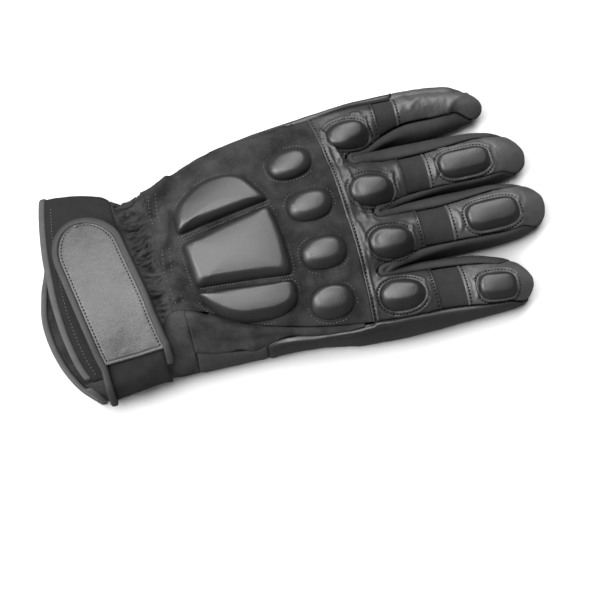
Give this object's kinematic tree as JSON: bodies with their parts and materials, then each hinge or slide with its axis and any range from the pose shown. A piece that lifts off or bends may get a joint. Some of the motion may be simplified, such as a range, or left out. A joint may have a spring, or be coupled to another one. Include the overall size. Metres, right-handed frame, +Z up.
{
  "type": "tactical glove",
  "caption": "Padded full-finger work glove for the right hand, with a gathered wrist and a closed wrist strap, lying with its back up and its thumb folded under the palm.",
  "frame": {"origin": "middle of the bounding box in plan, on the surface the glove lies on", "axes": "+X from the cuff to the fingertips, +Y to the thumb side, +Z up, out of the back of the hand"},
  "size_m": [0.255, 0.1224, 0.0473],
  "materials": {
    "leather": "black grain leather with a soft sheen",
    "pad": "black leather moulded over foam pads, semi-gloss",
    "suede": "black suede",
    "stretch": "matt black stretch cloth",
    "twill": "charcoal twill",
    "binding": "charcoal folded binding",
    "strap": "dark grey leather"
  },
  "bodies": {
    "root": {"palm_leather": "leather", "thumb_back": "leather", "thumb_palm": "leather", "back_suede": "suede", "side_stretch": "stretch", "side_gusset": "twill", "knuckle_band": "leather", "stretch_little": "stretch", "tip_little": "leather", "stretch_ring": "stretch", "tip_ring": "leather", "stretch_middle": "stretch", "tip_middle": "leather", "stretch_index": "stretch", "tip_index": "leather", "fourchette_ring_little": "stretch", "fourchette_middle_ring": "stretch", "fourchette_index_middle": "stretch", "pad_hand_upper": "pad", "pad_hand_middle": "pad", "pad_hand_lower": "pad", "pad_back_little": "pad", "pad_back_ring": "pad", "pad_back_middle": "pad", "pad_back_index": "pad", "pad_knuckle_little": "pad", "pad_knuckle_ring": "pad", "pad_knuckle_middle": "pad", "pad_knuckle_index": "pad", "pad_finger_middle": "pad", "pad_finger_ring": "pad", "pad_finger_little": "pad", "wrist_gather": "stretch", "cuff_back": "stretch", "cuff_palm": "stretch", "binding_back": "binding", "binding_palm": "binding", "strap_base": "stretch", "strap_face": "strap", "strap_binding": "binding"}
  },
  "joints": []
}
